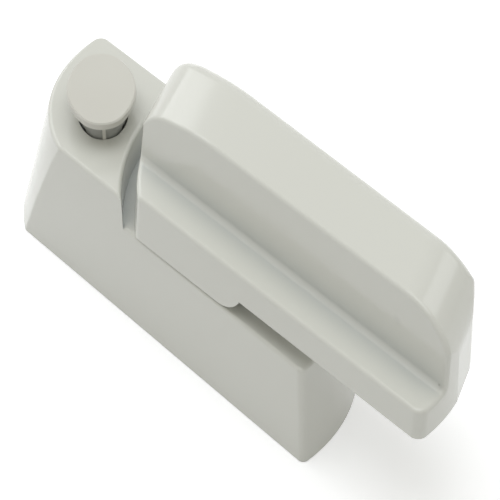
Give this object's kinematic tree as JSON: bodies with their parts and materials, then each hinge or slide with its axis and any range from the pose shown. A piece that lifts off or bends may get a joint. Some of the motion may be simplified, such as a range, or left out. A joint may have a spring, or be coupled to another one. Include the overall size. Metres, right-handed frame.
{
  "type": "sash jammer",
  "caption": "Pivoting arm on a skewed hollow base, screwed to a window or door frame to hold a sash shut, with a push-in screw cover cap.",
  "frame": {"origin": "on the mounting face, midway between the two fixing holes", "axes": "+X along the base towards the arm's outer end, +Z out of the mounting face, +Y towards the grip's far side, away from the ledge"},
  "size_m": [0.1001, 0.0232, 0.0369],
  "materials": {
    "painted_casting": "white satin powder coat on zinc die casting",
    "cap_plastic": "white moulded plastic, fine matt",
    "zinc_plated_steel": "bright zinc plate",
    "washer_plastic": "black low-friction plastic",
    "spring_steel": "oiled spring steel"
  },
  "bodies": {
    "base": {"base_body": "painted_casting", "friction_washer": "washer_plastic", "steel_washer": "zinc_plated_steel", "disc_spring": "spring_steel"},
    "arm": {"swing_arm": "painted_casting", "pivot_screw": "zinc_plated_steel"},
    "cap": {"screw_cap": "cap_plastic"}
  },
  "joints": [
    {"name": "arm_swing", "type": "hinge", "parent": "base", "child": "arm", "pos_m": [0.00585, 0.001, 0.0173], "axis": [0, 0, 1], "range_deg": [-90, 0]},
    {"name": "cap_press", "type": "slide", "parent": "base", "child": "cap", "axis": [0, 0, 1], "range_m": [-0.0039, 0]}
  ]
}
